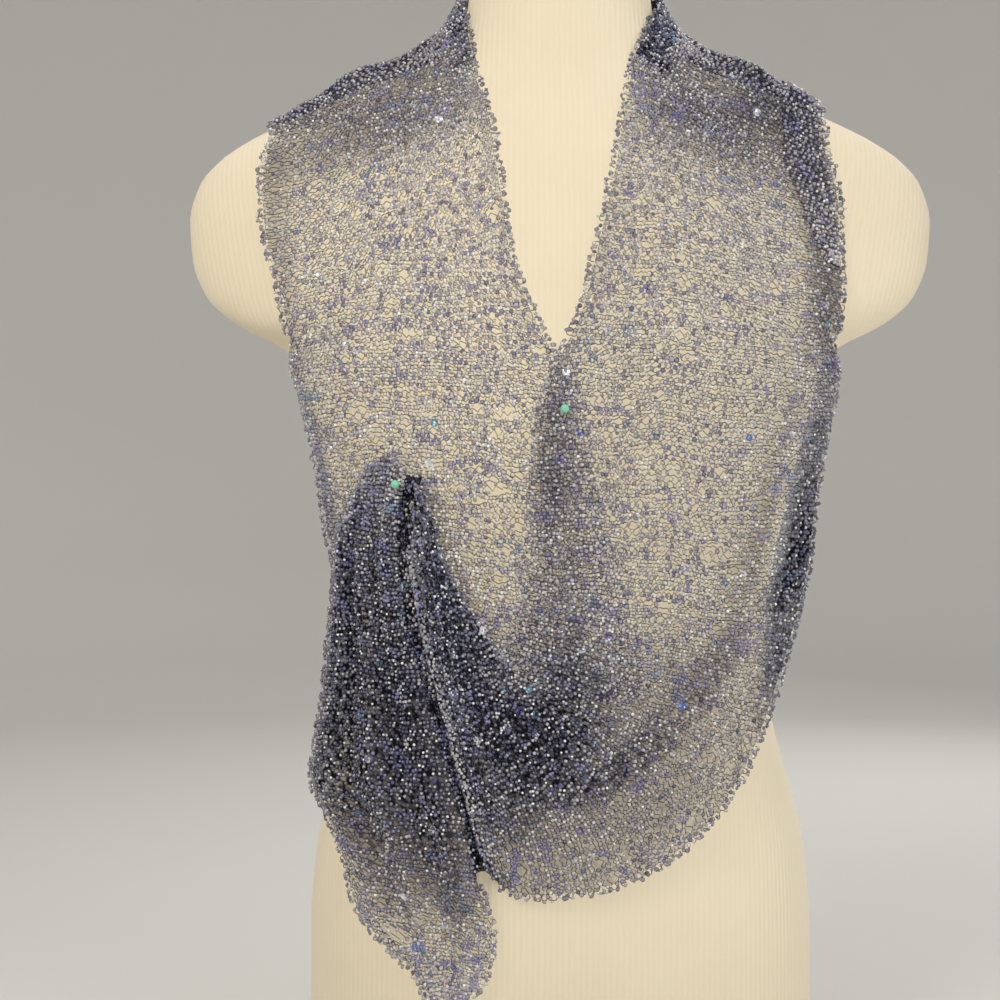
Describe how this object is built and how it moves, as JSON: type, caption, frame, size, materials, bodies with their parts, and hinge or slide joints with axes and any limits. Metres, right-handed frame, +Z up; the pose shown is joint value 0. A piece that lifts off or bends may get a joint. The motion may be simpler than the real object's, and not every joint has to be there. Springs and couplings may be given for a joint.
{
  "type": "sequin scarf on dress form",
  "caption": "Open-knit scarf of glass beads and sequins, wrapped round a limbless cream dress form, crossed on the chest and drawn up to a ball-headed pin.",
  "frame": {"origin": "on the surface it stands on, under the middle of the whole model's box", "axes": "+Z up, -Y to the front of the form, +X to the viewer's right"},
  "size_m": [0.512, 0.2566, 0.7899],
  "materials": {
    "form_cover": "fine ribbed cream jersey stretched over the form",
    "form_wood": "satin varnished",
    "beaded_knit": "open net of dark thread covered in grey-lilac glass beads and blue sequins",
    "pin_metal": "glossy mint ball on a steel shaft"
  },
  "bodies": {
    "root": {"dress_form": "form_cover", "form_neck_cap": "form_wood", "form_base_board": "form_wood", "scarf_left_front": "beaded_knit", "scarf_neck_back": "beaded_knit", "scarf_right_front": "beaded_knit", "scarf_shoulder_fold": "beaded_knit", "scarf_swag": "beaded_knit", "scarf_tail": "beaded_knit", "pin_neckline": "pin_metal", "pin_gather": "pin_metal"}
  },
  "joints": []
}
